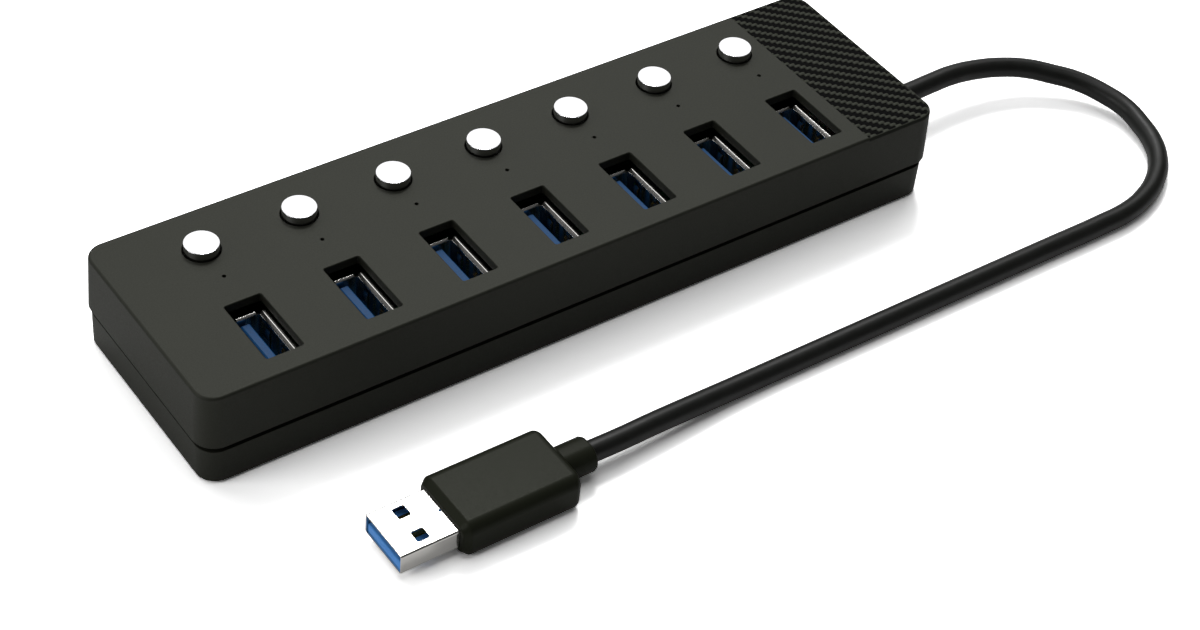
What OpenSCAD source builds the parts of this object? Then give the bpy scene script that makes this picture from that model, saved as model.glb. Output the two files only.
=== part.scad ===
// Seven-port USB hub with an individual push switch for each port, a clamped
// lead and a USB-A plug. Millimetres. X runs along the hub towards the lead,
// Y towards the row of buttons, Z up. The origin is on the surface the hub
// stands on, under the centre of its case.

/* [Case] */
// Length of the case at its flat top face
case_l = 168.6; // [164:0.2:180]
// Width of the case at its flat top face
case_w = 47; // [46:0.5:60]
// Height of the flat top face above the surface
top_z = 21.3; // [20.8:0.1:24]
// Height of the parting groove between the two shells
split_z = 8.7; // [8.4:0.1:9.4]
// Width of the parting groove
groove_w = 1.4; // [0.6:0.1:1.5]
// Wall thickness of the top plate
plate_t = 1.8; // [1.4:0.1:2.2]
// Wall thickness of the side walls
wall_t = 2; // [1.8:0.1:2.4]
// How much wider the upper shell is at the groove than at its top, each side
draft_w = 0.5; // [0.2:0.1:0.8]
// Corner radius of the case seen from above
corner_r = 4; // [3:0.5:6]
// Rounding of the top and bottom edges
edge_r = 0.6; // [0.3:0.1:0.9]
// Length of the textured trim plate at the lead end
trim_l = 18.2; // [14:0.2:19]
// Thickness of the textured trim plate
trim_t = 0.8; // [0.5:0.1:1]

/* [Ports] */
// Distance from one port to the next
pitch = 20.7; // [20:0.1:20.8]
// X of the first port
port_x = -65.4; // [-66:0.1:-65]
// Y of the row of ports
port_y = -11; // [-11.5:0.1:-10.5]
// Short side of the port opening in the top plate
opening_x = 7.6; // [7.4:0.1:8]
// Long side of the port opening in the top plate
opening_y = 15.6; // [15.2:0.1:16]
// Depth of the receptacle mouth below the top face
mouth_depth = 2.6; // [2.4:0.1:3.4]

/* [Buttons] */
// X of the first button and its indicator
button_x = -65.1; // [-65.6:0.1:-64.6]
// Y of the row of buttons
button_y = 12.6; // [12.4:0.1:13]
// Diameter of a button cap
button_d = 6.8; // [6:0.1:7]
// How far a cap stands above the top face
button_h = 1.75; // [1.6:0.05:2.2]
// How far a cap can be pressed
button_travel = 1.5; // [0.8:0.1:1.5]
// Y of the row of indicator holes
led_y = 4.1; // [3.6:0.1:4.4]
// Diameter of an indicator hole
led_d = 0.8; // [0.7:0.1:1.2]

/* [Lead and plug] */
// Diameter of the lead
cord_d = 4.4; // [4:0.1:4.4]
// Y at which the lead leaves the case
exit_y = -4; // [-4.2:0.1:-3.8]
// Length of the tapered strain relief outside the case
relief_l = 8; // [6:0.5:11.5]
// X of the tip of the plug
plug_x = -66.1; // [-66.5:0.1:-65.5]
// Y of the centre line of the plug
plug_y = -53.8; // [-54:0.1:-53.6]
// Length of bare metal on the plug
plug_metal_l = 11.7; // [11:0.1:12.5]
// Length, width and height of the plug's grip
grip_l = 25.4; // [24:0.1:25.4]
grip_w = 16; // [14:0.1:17]
grip_h = 8.2; // [8:0.1:8.4]

/* [Hidden] */
$fn = 48;

ports = 7;
foot_proud = 0.3;                      // feet hold the case this far up
floor_t = 1.8;
case_z = foot_proud;                   // underside of the case
floor_z = case_z + floor_t;            // inside of the case floor
plate_z = top_z - plate_t;             // inside of the top plate
lower_z = split_z - groove_w / 2;      // top edge of the lower shell's wall
upper_z = split_z + groove_w / 2;      // bottom edge of the upper shell
lip_z = upper_z + 1;                   // top of the lower shell's inner lip
lip_in = 0.9;                          // lip set back from the lower wall
lip_gap = 0.15;

board_t = 1.6;
board_top = 4.8;                       // component side of the circuit board
board_x0 = -80;
board_x1 = 71.5;
board_w = 39;

mouth_z = top_z - mouth_depth;         // top of the receptacle flange
receptacle_x = 5.7;                    // outside of the folded steel shell
receptacle_y = 13.1;
sheet_t = 0.3;
flange_x = 7.7;
flange_y = 15.1;
flange_t = 0.4;
tongue_x = -1.7;                       // tongue set off centre, towards -X
tongue_t = 1.84;
tongue_y = 11.1;
tongue_drop = 1.3;                     // tip of the tongue below the flange
insert_h = 4.5;                        // solid foot of the insert
contact_ys = [-3.5, -1, 1, 3.5];

cap_r = button_d / 2;
cap_hole_r = cap_r + 0.3;
cap_flange_r = cap_r + 1;
cap_flange_t = 1.2;
stem_r = 2.6;
plunger_r = 1.5;
switch_w = 8.4;
switch_h = 8;

screw_xs = [-76, 76];
screw_ys = [-17, 17];
pillar_r = 3.6;
pillar_z = 9.8;                        // where the two halves of a pillar meet
foot_r = 4.4;
foot_t = 0.9;

exit_z = split_z;
relief_x = case_l / 2 + draft_w + 0.1; // face of the relief's outer collar
header_x = 64.5;
header_l = 6;
wires_end = 77;

plug_z = grip_h / 2;
plug_w = 12;
plug_h = 4.5;
neck_l = 6.6;
neck_w = 7.2;
neck_h = 6.2;
neck_r = 2.4;
window_l = 2.6;                        // latch windows of the plug
window_w = 2.8;
window_x = 5.6;                        // their centres, from the tip
window_y = 3.1;
grip_x = plug_x + plug_metal_l;
neck_x = grip_x + grip_l;
cord_end_x = neck_x + neck_l;

// Centre line of the lead: straight out of the relief, down onto the surface
// round one loose bend, back along the hub and up into the plug.
route = [
    [wires_end, exit_y, exit_z], [84, exit_y, exit_z], [90, exit_y, exit_z],
    [96, exit_y, exit_z], [102, -3.7, 8.6], [108, -3.5, 8.4], [114.5, -4, 7.8],
    [121, -5.5, 7.1], [126.5, -8, 6.4], [131, -11.5, 5.6], [135, -15.5, 4.9],
    [138, -21, 4.1], [139.5, -27, 3.4], [139, -32, 2.9], [137.5, -37.5, 2.5],
    [134, -43, 2.3], [129, -47.3, 2.2], [123, -50.3, 2.2], [116.5, -52, 2.2],
    [108, -52.4, 2.2], [95, -52.4, 2.2], [80, -52.4, 2.2], [65, -52.4, 2.2],
    [50, -52.4, 2.2], [35, -52.4, 2.2], [22, -52.4, 2.2], [12, -52.6, 2.5],
    [3, -53, 3.1], [-7, -53.5, 3.8], [-15, plug_y, 4],
    [cord_end_x, plug_y, plug_z]];
cord_sides = 10;

// A bar with rounded vertical corners, centred on the origin in X and Y.
module bar(l, w, h, r) {
    linear_extrude(h) {
        square([l - 2 * r, w], center = true);
        square([l, w - 2 * r], center = true);
        for (x = [-1, 1], y = [-1, 1])
            translate([x * (l / 2 - r), y * (w / 2 - r)]) circle(r);
    }
}

// A thin slice of the case outline, grown by g on every side.
module slice(g, z) {
    translate([0, 0, z])
        bar(case_l + 2 * g, case_w + 2 * g, 0.1, corner_r + g, $fn = 32);
}

// The inside of the case, set in by i from the outline, from z0 to z1.
module hollow(i, z0, z1) {
    translate([0, 0, z0])
        bar(case_l - 2 * i, case_w - 2 * i, z1 - z0, max(corner_r - i, 0.5));
}

module box(x, y, z0, z1) {
    translate([-x / 2, -y / 2, z0]) cube([x, y, z1 - z0]);
}

module at_port(i) {
    translate([port_x + (i - 1) * pitch, port_y, 0]) children();
}

module at_button(i) {
    translate([button_x + (i - 1) * pitch, button_y, 0]) children();
}

module at_led(i) {
    translate([button_x + (i - 1) * pitch, led_y, 0]) children();
}

module at_screws() {
    for (x = screw_xs, y = screw_ys) translate([x, y, 0]) children();
}

// The round hole through both end walls that grips the lead's grommet.
module lead_hole() {
    translate([case_l / 2 - wall_t - 2, exit_y, exit_z])
        rotate([0, 90, 0]) cylinder(r = 3.05, h = 8);
}

// Upper shell: drafted walls, flat top plate, bosses for the case screws.
module top_shell() {
    color("#2b2b29")
    difference() {
        union() {
            difference() {
                hull() {
                    slice(draft_w - 0.3, upper_z);
                    slice(draft_w, upper_z + 0.3);
                    slice(0, top_z - edge_r - 0.1);
                    slice(-edge_r / 3, top_z - edge_r / 3 - 0.1);
                    slice(-edge_r, top_z - 0.1);
                }
                hollow(lip_in - lip_gap, upper_z - 1, lip_z);
                hollow(wall_t, lip_z - 0.1, plate_z);
            }
            at_screws() translate([0, 0, pillar_z])
                cylinder(r = pillar_r - 0.4, h = plate_z - pillar_z + 0.2);
        }
        at_screws() translate([0, 0, pillar_z - 0.1]) cylinder(r = 1.2, h = 7);
        for (i = [1:ports]) {
            at_port(i) translate([0, 0, plate_z - 1])
                bar(opening_x, opening_y, plate_t + 2, 0.4);
            at_button(i) translate([0, 0, plate_z - 1])
                cylinder(r = cap_hole_r, h = plate_t + 2);
            at_led(i) translate([0, 0, plate_z - 1])
                cylinder(d = led_d, h = plate_t + 2);
        }
        trim_space(0);
        lead_hole();
    }
}

// The shallow step in the top plate that the trim plate lies in.
module trim_space(clear) {
    translate([case_l / 2 - trim_l + clear, -case_w / 2 - 1, top_z - trim_t])
        cube([trim_l + 2, case_w + 2, trim_t + 1]);
}

// Trim plate with a woven relief, bonded into the step at the lead end.
module textured_end_plate() {
    color("#1d1d1b")
    intersection() {
        hull() {
            slice(-0.05, top_z - trim_t);
            slice(-0.05, top_z - edge_r - 0.1);
            slice(-edge_r, top_z - 0.1);
        }
        trim_space(0.1);
    }
}

// Lower shell: tray with an inner lip that the upper shell slides over.
module bottom_shell() {
    color("#262625")
    difference() {
        union() {
            difference() {
                union() {
                    hull() {
                        slice(-edge_r, case_z);
                        slice(-edge_r / 3, case_z + edge_r / 3);
                        slice(0, case_z + edge_r);
                        slice(0, lower_z - 0.4);
                        slice(-0.3, lower_z - 0.1);
                    }
                    hollow(lip_in, lower_z - 0.2, lip_z);
                }
                hollow(wall_t, floor_z, lip_z + 1);
            }
            at_screws() translate([0, 0, floor_z - 0.1])
                cylinder(r = pillar_r, h = pillar_z - floor_z + 0.1);
            for (x = [-55, -13.7, 27.7], y = [-16, 16])
                translate([x, y, floor_z - 0.1])
                    cylinder(r = 2, h = board_top - board_t - floor_z + 0.1);
        }
        at_screws() {
            translate([0, 0, -1]) cylinder(r = foot_r + 0.1, h = foot_t + 1);
            translate([0, 0, -1]) cylinder(r = 2.6, h = 4);
            translate([0, 0, -1]) cylinder(r = 1.3, h = 20);
        }
        lead_hole();
    }
}

// Printed circuit board, cut away round the screw pillars.
module circuit_board() {
    color("#1f5a34")
    difference() {
        translate([board_x0, -board_w / 2, board_top - board_t])
            cube([board_x1 - board_x0, board_w, board_t]);
        at_screws() translate([0, 0, 1]) cylinder(r = pillar_r + 0.3, h = 8);
    }
}

// Folded steel shell of an upright USB-A receptacle, flanged at the mouth.
module receptacle_shell(i) {
    color("#c9cacc")
    at_port(i)
    difference() {
        union() {
            box(receptacle_x, receptacle_y, board_top, mouth_z - 0.1);
            box(flange_x, flange_y, mouth_z - flange_t, mouth_z);
        }
        box(receptacle_x - 2 * sheet_t, receptacle_y - 2 * sheet_t, 0, top_z);
    }
}

// Blue insulator: a solid foot in the shell and the tongue above it.
module receptacle_insert(i) {
    color("#2a62c4")
    at_port(i)
    union() {
        box(receptacle_x - 2 * sheet_t - 0.04, receptacle_y - 2 * sheet_t - 0.04,
            board_top, board_top + insert_h);
        translate([tongue_x, -tongue_y / 2, board_top])
            cube([tongue_t, tongue_y, mouth_z - board_top - tongue_drop]);
    }
}

// Four contact blades lying on the tongue of every receptacle.
module receptacle_contacts() {
    color("#c9a24a")
    for (i = [1:ports], y = contact_ys)
        at_port(i)
            translate([tongue_x + tongue_t, y - 0.5, board_top + insert_h])
                cube([0.15, 1, mouth_z - board_top - insert_h - 2]);
}

// Plated cap: a short drum, a flange that stops it under the plate, a socket.
module button_cap(i) {
    color("#dedede")
    at_button(i)
    difference() {
        union() {
            translate([0, 0, plate_z - 0.3 - cap_flange_t])
                cylinder(r = cap_r, h = top_z + button_h - plate_z + 0.3 + cap_flange_t - 0.2);
            translate([0, 0, top_z + button_h - 0.2])
                cylinder(r1 = cap_r, r2 = cap_r - 0.2, h = 0.2);
            translate([0, 0, plate_z - 0.3 - cap_flange_t])
                cylinder(r = cap_flange_r, h = cap_flange_t);
            translate([0, 0, board_top + switch_h + button_travel + 0.6])
                cylinder(r = stem_r, h = plate_z - board_top - switch_h - button_travel - 1);
        }
        translate([0, 0, board_top + switch_h])
            cylinder(r = plunger_r + 0.02, h = plate_z - board_top - switch_h - 1.5);
    }
}

// Plunger of the push switch, pressed into the cap's socket.
module switch_plunger(i) {
    color("#e8e4d8")
    at_button(i)
        translate([0, 0, board_top + 3.6])
            cylinder(r = plunger_r, h = plate_z - board_top - 5.1);
}

// Square housing of the push switch, soldered to the board.
module switch_body(i) {
    color("#3a3a3c")
    at_button(i)
    difference() {
        box(switch_w, switch_w, board_top, board_top + switch_h);
        translate([0, 0, board_top + 3.6 - button_travel - 0.4])
            cylinder(r = plunger_r + 0.05, h = switch_h);
    }
}

// Two hub controllers between the receptacles.
module hub_chips() {
    color("#181818")
    for (k = [1, 5])
        translate([port_x + (k + 0.5) * pitch, 0, 0])
            box(7, 7, board_top, board_top + 0.9);
}

// Crystal in its metal can.
module crystal() {
    color("#b8bbc0")
    translate([port_x + 2.5 * pitch, -6, board_top]) bar(4.7, 11, 3.5, 2.3);
}

// Electrolytic capacitors that smooth the supply.
module capacitors() {
    color("#4a4f58")
    for (k = [3.5, 4.5])
        translate([port_x + k * pitch, -2, board_top]) cylinder(r = 2.5, h = 5.4);
}

// Indicator lamps on the board, one for each port.
module leds() {
    color("#eef4ff")
    for (i = [1:ports]) at_led(i) box(1.6, 0.8, board_top, board_top + 0.6);
}

// Clear rods that lead each lamp's light up to its hole.
module light_pipes() {
    color("#dfe8ee")
    for (i = [1:ports]) at_led(i) {
        translate([0, 0, board_top + 0.8]) cylinder(r = 0.9, h = plate_z - board_top - 0.8);
        translate([0, 0, plate_z - 0.8]) cylinder(r = 1.5, h = 0.8);
        translate([0, 0, plate_z]) cylinder(r = led_d / 2 - 0.05, h = plate_t - 0.7);
    }
}

// Board-mounted header that takes the wires of the lead.
module lead_header() {
    color("#ece7da")
    translate([header_x, exit_y - 5, board_top]) cube([header_l, 10, 6]);
}

// The lead's cores between the end of its jacket and the header.
module lead_wires() {
    color("#b03a2e")
    for (y = [-0.9, 0.9], z = [-0.9, 0.9])
        translate([header_x + header_l, exit_y + y, exit_z + z])
            rotate([0, 90, 0]) cylinder(r = 0.6, h = wires_end - header_x - header_l);
}

// Four self-tapping screws, their heads sunk above the feet.
module case_screws() {
    color("#8f9297")
    at_screws() {
        translate([0, 0, 1.2]) cylinder(r = 2.4, h = 1.8);
        translate([0, 0, 2.9]) cylinder(r = 1.15, h = 12);
    }
}

// Four feet stuck into round recesses over the screws.
module rubber_feet() {
    color("#1a1a1a")
    at_screws() cylinder(r = foot_r, h = foot_t);
}

// Grommet held by both shells, with a tapered relief round the lead.
module lead_grommet() {
    color("#1e1e1d")
    translate([0, exit_y, exit_z]) rotate([0, 90, 0])
    difference() {
        union() {
            translate([0, 0, case_l / 2 - wall_t - 2]) cylinder(r = 4.2, h = 1.8);
            translate([0, 0, case_l / 2 - wall_t - 0.5])
                cylinder(r = 3, h = wall_t + 1.5);
            translate([0, 0, relief_x]) cylinder(r = 3.9, h = 1.2);
            translate([0, 0, relief_x + 1.2])
                cylinder(r1 = 3.4, r2 = cord_d / 2 + 0.4, h = relief_l - 1.2);
        }
        translate([0, 0, 70]) cylinder(r = cord_d / 2 + 0.05, h = 50);
    }
}

function unit(v) = v / norm(v);
function heading(p, i) = unit(p[min(i + 1, len(p) - 1)] - p[max(i - 1, 0)]);
function side_of(t) = unit(cross([0, 0, 1], t));
function ring(c, t, r, n) = [for (k = [0:n - 1])
    c + r * (cos(360 * k / n) * side_of(t) + sin(360 * k / n) * cross(t, side_of(t)))];

// A round tube swept along the points p.
module tube(p, r, n) {
    rings = [for (i = [0:len(p) - 1]) each ring(p[i], heading(p, i), r, n)];
    last = (len(p) - 1) * n;
    polyhedron(rings, concat(
        [[for (k = [n - 1:-1:0]) k]],
        [for (i = [0:len(p) - 2], k = [0:n - 1])
            [i * n + k, i * n + (k + 1) % n, (i + 1) * n + (k + 1) % n, (i + 1) * n + k]],
        [[for (k = [0:n - 1]) last + k]]));
}

module cord() {
    color("#1c1c1b") tube(route, cord_d / 2, cord_sides);
}

// A box along X from x0 to x1 with rounded long edges, centred on the plug.
module plug_bar(x0, x1, w, h, r) {
    translate([x0, plug_y, plug_z]) rotate([90, 0, 90]) bar(w, h, x1 - x0, r);
}

// Moulded grip of the plug with its short neck.
module plug_grip() {
    color("#3a3b37")
    difference() {
        union() {
            plug_bar(grip_x, neck_x, grip_w, grip_h, 2);
            plug_bar(neck_x - 0.5, cord_end_x, neck_w, neck_h, neck_r);
        }
        plug_bar(grip_x - 1, grip_x + 5, plug_w, plug_h, 0.3);
    }
}

// Folded metal shell of the plug with its two latch windows.
module plug_shell() {
    color("#d8d8da")
    difference() {
        plug_bar(plug_x, grip_x + 5, plug_w, plug_h, 0.3);
        plug_bar(plug_x - 1, grip_x + 6, plug_w - 2 * sheet_t, plug_h - 2 * sheet_t, 0.2);
        for (y = [-1, 1], z = [-1, 1])
            translate([plug_x + window_x, plug_y + y * window_y, plug_z + z * plug_h / 2])
                cube([window_l, window_w, 1], center = true);
    }
}

// Blue insulator: a block inside the grip, the lower half of the mouth outside.
module plug_insert() {
    color("#2a62c4")
    union() {
        translate([plug_x + 0.3, plug_y - 5.5, plug_z - plug_h / 2 + sheet_t])
            cube([plug_metal_l + 4.6, 11, 1.9]);
        plug_bar(grip_x, grip_x + 4.9, plug_w - 2 * sheet_t - 0.04,
                 plug_h - 2 * sheet_t, 0.24);
    }
}

// Contact blades on top of the plug's insulator.
module plug_contacts() {
    color("#c9a24a")
    for (y = contact_ys)
        translate([plug_x + 1.2, plug_y + y - 0.6, plug_z - plug_h / 2 + sheet_t + 1.9])
            cube([8, 1.2, 0.12]);
}

top_shell();
bottom_shell();
textured_end_plate();
circuit_board();
for (i = [1:ports]) {
    receptacle_shell(i);
    receptacle_insert(i);
    button_cap(i);
    switch_plunger(i);
    switch_body(i);
}
receptacle_contacts();
hub_chips();
crystal();
capacitors();
leds();
light_pipes();
lead_header();
lead_wires();
case_screws();
rubber_feet();
lead_grommet();
cord();
plug_grip();
plug_shell();
plug_insert();
plug_contacts();
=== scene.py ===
# A seven-port USB hub with a push switch for each port, its lead and its USB-A plug.
# It is put together here in the order of the real one: the circuit board and what is
# soldered to it, the lower shell, the lead, the upper shell with its trim and buttons,
# and the plug at the lead's far end. The shape helpers take millimetres.
import math

import bmesh
import bpy
from mathutils import Matrix, Vector


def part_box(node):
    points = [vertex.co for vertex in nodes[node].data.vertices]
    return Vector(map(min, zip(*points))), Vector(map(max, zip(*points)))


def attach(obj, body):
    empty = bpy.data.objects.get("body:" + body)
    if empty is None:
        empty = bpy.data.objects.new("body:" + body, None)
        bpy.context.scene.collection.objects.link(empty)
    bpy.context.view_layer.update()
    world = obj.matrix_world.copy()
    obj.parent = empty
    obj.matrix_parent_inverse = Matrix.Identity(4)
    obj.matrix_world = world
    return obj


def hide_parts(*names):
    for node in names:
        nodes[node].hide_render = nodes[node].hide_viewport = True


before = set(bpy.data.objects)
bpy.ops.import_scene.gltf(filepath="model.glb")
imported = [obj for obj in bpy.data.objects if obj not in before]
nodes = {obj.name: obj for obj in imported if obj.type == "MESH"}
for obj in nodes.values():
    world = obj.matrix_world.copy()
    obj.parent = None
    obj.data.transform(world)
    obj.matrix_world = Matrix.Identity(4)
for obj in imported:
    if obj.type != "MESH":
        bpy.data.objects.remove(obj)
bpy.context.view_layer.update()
MM = 0.001

# --- Circuit board ---------------------------------------------------------------
# A 1.6 mm glass-fibre board under green solder mask. It lies on six bosses of the
# lower shell, and its copper shows through the mask as slightly lighter tracks.
TRACK_PITCH = 1.27 * MM


def linear(code):
    """The linear colour of an sRGB hex code."""
    parts = [int(code[k : k + 2], 16) / 255 for k in (1, 3, 5)]
    return [c / 12.92 if c <= 0.04045 else ((c + 0.055) / 1.055) ** 2.4 for c in parts] + [1.0]


def add_node(tree, kind, settings=None, inputs=None, to=None):
    """Adds a shader node. An input is a value, or another node's output to link; to
    says which sockets its own outputs run on to. All sockets go by their identifiers."""
    node = tree.nodes.new("ShaderNode" + kind)
    for name, value in (settings or {}).items():
        setattr(node, name, value)
    sockets = {socket.identifier: socket for socket in node.inputs}
    for name, value in (inputs or {}).items():
        if isinstance(value, bpy.types.NodeSocket):
            tree.links.new(value, sockets[name])
        else:
            sockets[name].default_value = value
    for output in node.outputs:
        if output.identifier in (to or {}):
            tree.links.new(output, to[output.identifier])
    return node


def new_finish(name, colour, **surface):
    """A material, its node tree, its shader's sockets with the values given, and the
    coordinates that fix a pattern to the piece."""
    finish = bpy.data.materials.new(name)
    finish.use_nodes = True
    tree = finish.node_tree
    shader = tree.nodes["Principled BSDF"].inputs
    shader["Base Color"].default_value = linear(colour)
    for socket, value in surface.items():
        shader[socket.replace("_", " ")].default_value = value
    return finish, tree, shader, add_node(tree, "TexCoord").outputs["Object"]


def paint(finish, *names):
    """Puts a finish on CAD pieces whose shape stays."""
    for name in names:
        for slot in nodes[name].material_slots:
            slot.material = finish


def solder_mask():
    """Green epoxy mask, cured on the board: glossy, ridged over the copper tracks."""
    finish, tree, shader, place = new_finish(
        "green_solder_mask", "#1d5a36", Roughness=0.3, IOR=1.5, Coat_Weight=0.3)
    tracks = add_node(tree, "TexBrick", {"offset": 0.37}, {
        "Vector": place, "Scale": 1.0, "Mortar Size": TRACK_PITCH / 6,
        "Brick Width": 7 * TRACK_PITCH, "Row Height": TRACK_PITCH}).outputs["Fac"]
    add_node(tree, "Mix", {"data_type": "RGBA"}, {
        "Factor_Float": tracks, "A_Color": linear("#17492c"), "B_Color": linear("#2a7146")},
        {"Result_Color": shader["Base Color"]})
    add_node(tree, "Bump", {}, {"Height": tracks, "Distance": 0.03 * MM},
             {"Normal": shader["Normal"]})
    return finish


paint(solder_mask(), "circuit_board")

# --- Parts soldered to the board ---------------------------------------------------
# Two hub controllers in black epoxy, a crystal in its can, two sleeved capacitors,
# a lamp for each port, and the square housings and nylon plungers of the switches.
PORTS = range(1, 8)


def black_epoxy():
    """Transfer-moulded epoxy: matt charcoal with a fine sparkle of its filler."""
    finish, tree, shader, place = new_finish("black_epoxy", "#1b1b1c", IOR=1.55)
    filler = add_node(tree, "TexNoise", {}, {
        "Vector": place, "Scale": 1 / (0.15 * MM), "Detail": 3.0}).outputs["Fac"]
    add_node(tree, "MapRange", {}, {"Value": filler, "To Min": 0.38, "To Max": 0.76},
             {"Result": shader["Roughness"]})
    add_node(tree, "Bump", {}, {"Height": filler, "Distance": 0.008 * MM},
             {"Normal": shader["Normal"]})
    return finish


def pvc_sleeve():
    """Shrunk PVC sleeve: glossy slate grey that ripples a little."""
    finish, tree, shader, place = new_finish(
        "shrunk_pvc_sleeve", "#3d4450", Roughness=0.22, IOR=1.53)
    ripple = add_node(tree, "TexNoise", {}, {
        "Vector": place, "Scale": 1 / (1.2 * MM), "Detail": 3.0}).outputs["Fac"]
    add_node(tree, "Bump", {}, {"Height": ripple, "Distance": 0.02 * MM},
             {"Normal": shader["Normal"]})
    return finish


def lamp_epoxy():
    """Clear epoxy over a lamp's die: milky white."""
    finish, tree, shader, place = new_finish(
        "lamp_epoxy", "#eef1f5", IOR=1.53, Subsurface_Weight=0.3)
    haze = add_node(tree, "TexNoise", {}, {
        "Vector": place, "Scale": 1 / (0.3 * MM), "Detail": 3.0}).outputs["Fac"]
    add_node(tree, "MapRange", {}, {"Value": haze, "To Min": 0.05, "To Max": 0.4},
             {"Result": shader["Roughness"]})
    return finish


def natural_nylon():
    """Unfilled nylon 66 as it comes from the mould: cream, waxy, slightly see-through."""
    finish, tree, shader, place = new_finish(
        "natural_nylon", "#e6dfca", Roughness=0.38, IOR=1.53, Subsurface_Weight=0.15,
        Subsurface_Scale=MM)
    cloud = add_node(tree, "TexNoise", {}, {
        "Vector": place, "Scale": 1 / (0.6 * MM), "Detail": 3.0}).outputs["Fac"]
    add_node(tree, "Mix", {"data_type": "RGBA"}, {
        "Factor_Float": cloud, "A_Color": linear("#d6ccb0"), "B_Color": linear("#f4efdf")},
        {"Result_Color": shader["Base Color"]})
    add_node(tree, "Bump", {}, {"Height": cloud, "Distance": 0.006 * MM},
             {"Normal": shader["Normal"]})
    return finish


nylon = natural_nylon()
paint(black_epoxy(), "hub_chips", *[f"switch_body_{i}" for i in PORTS])
paint(pvc_sleeve(), "capacitors")
paint(lamp_epoxy(), "leds")
paint(nylon, *[f"switch_plunger_{i}" for i in PORTS])

# --- Receptacles -------------------------------------------------------------------
# Seven upright USB-A receptacles. Each shell is folded from 0.3 mm plated steel with
# its mouth flared into four flaps and two spring fingers in each long wall; inside it
# a blue insulator carries the contacts on a tongue.
SHEET = 0.3
MOUTH_FOLD_Z = 17.9
LONG_FOLD, SHORT_FOLD = (0.6, 0.5), (0.2, 0.12)
LONG_FLAP, SHORT_FLAP = 12.4, 4.0
FLARE_BEND_R, RIM_BEND_R = 0.35, 0.25
FINGER_Y, FINGER_W, FINGER_REACH = 2.9, 1.5, 0.55
WINDOW_W, WINDOW_Z = 2.0, (11.3, 16.9)
TUBE_X, TUBE_Y = 5.7, 13.1
SOLID_FOOT = 4.5
TONGUE_X, TONGUE_T, TONGUE_W = -0.78, 1.84, 11.1
BOARD_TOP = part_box("receptacle_shell_1")[0].z / MM
TONGUE_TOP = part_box("receptacle_insert_1")[1].z / MM


def rounded(length, width, radius, steps=5):
    """Corners-first outline of a rectangle with round corners, counter-clockwise."""
    points = []
    for k, (sx, sy) in enumerate(((1, 1), (-1, 1), (-1, -1), (1, -1))):
        for step in range(steps + 1):
            a = math.radians(90 * (k + step / steps))
            points.append((sx * (length / 2 - radius) + radius * math.cos(a),
                           sy * (width / 2 - radius) + radius * math.sin(a)))
    return points


def circle(radius, sides=48):
    """A round outline, counter-clockwise."""
    turns = [2 * math.pi * k / sides for k in range(sides)]
    return [(radius * math.cos(a), radius * math.sin(a)) for a in turns]


def level(outline, z, x=0.0, y=0.0):
    """An outline laid flat at a height."""
    return [(px + x, py + y, z) for px, py in outline]


def station(outline, x, y, z):
    """An outline stood up across the X axis, its first coordinate along Y."""
    return [(x, y + py, z + pz) for py, pz in outline]


def skin(bm, loops, ring=False):
    """Joins loops of points with quads, closed by flat ends or into a ring."""
    rows = [[bm.verts.new([c * MM for c in p]) for p in loop] for loop in loops]
    count = len(rows[0])
    for low, high in zip(rows, rows[1:] + (rows[:1] if ring else [])):
        for k in range(count):
            n = (k + 1) % count
            bm.faces.new((low[k], low[n], high[n], high[k]))
    if not ring:
        bm.faces.new(rows[0][::-1])
        bm.faces.new(rows[-1])


def shade(mesh, crease=32):
    """Smooth shading that keeps edges sharper than the crease angle."""
    mesh.shade_smooth()
    mesh.set_sharp_from_angle(angle=math.radians(crease))


def make_mesh(name, build, crease=32):
    """A mesh from a function that fills a bmesh with closed skins."""
    bm = bmesh.new()
    build(bm)
    bmesh.ops.recalc_face_normals(bm, faces=bm.faces)
    mesh = bpy.data.meshes.new(name)
    bm.to_mesh(mesh)
    bm.free()
    shade(mesh, crease)
    return mesh


def carve(mesh, tool, operation="DIFFERENCE", crease=32):
    """The mesh with the tool mesh cut out of it, or joined to it."""
    piece = bpy.data.objects.new("workpiece", mesh)
    cutter = bpy.data.objects.new("cutter", tool)
    for thing in (piece, cutter):
        bpy.context.scene.collection.objects.link(thing)
    cut = piece.modifiers.new("cut", "BOOLEAN")
    cut.operation, cut.solver, cut.object = operation, "EXACT", cutter
    done = bpy.data.meshes.new_from_object(
        piece.evaluated_get(bpy.context.evaluated_depsgraph_get()))
    for thing in (piece, cutter):
        bpy.data.objects.remove(thing)
    shade(done, crease)
    return done


def add_piece(name, mesh, finish, stands_for, body="hub", at=(0, 0, 0)):
    """Places a mesh that stands for CAD nodes, with its finish, slot and body."""
    piece = bpy.data.objects.new(name, mesh)
    bpy.context.scene.collection.objects.link(piece)
    piece.location = at
    if not mesh.materials:
        mesh.materials.append(finish)
    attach(piece, body)
    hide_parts(*stands_for)
    return piece


def middle(name):
    """The middle of a CAD node's box, in millimetres."""
    return [(low + high) / 2 / MM for low, high in zip(*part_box(name))]


def even_normals(piece):
    """Keeps big flat faces flat beside small rounded edges."""
    piece.modifiers.new("even_normals", "WEIGHTED_NORMAL").keep_sharp = True


def box_loops(x, y, z0, z1, cx=0.0, cy=0.0):
    """Two loops of a plain block."""
    outline = rounded(x, y, min(x, y) * 0.02, 1)
    return [level(outline, z0, cx, cy), level(outline, z1, cx, cy)]


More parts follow.
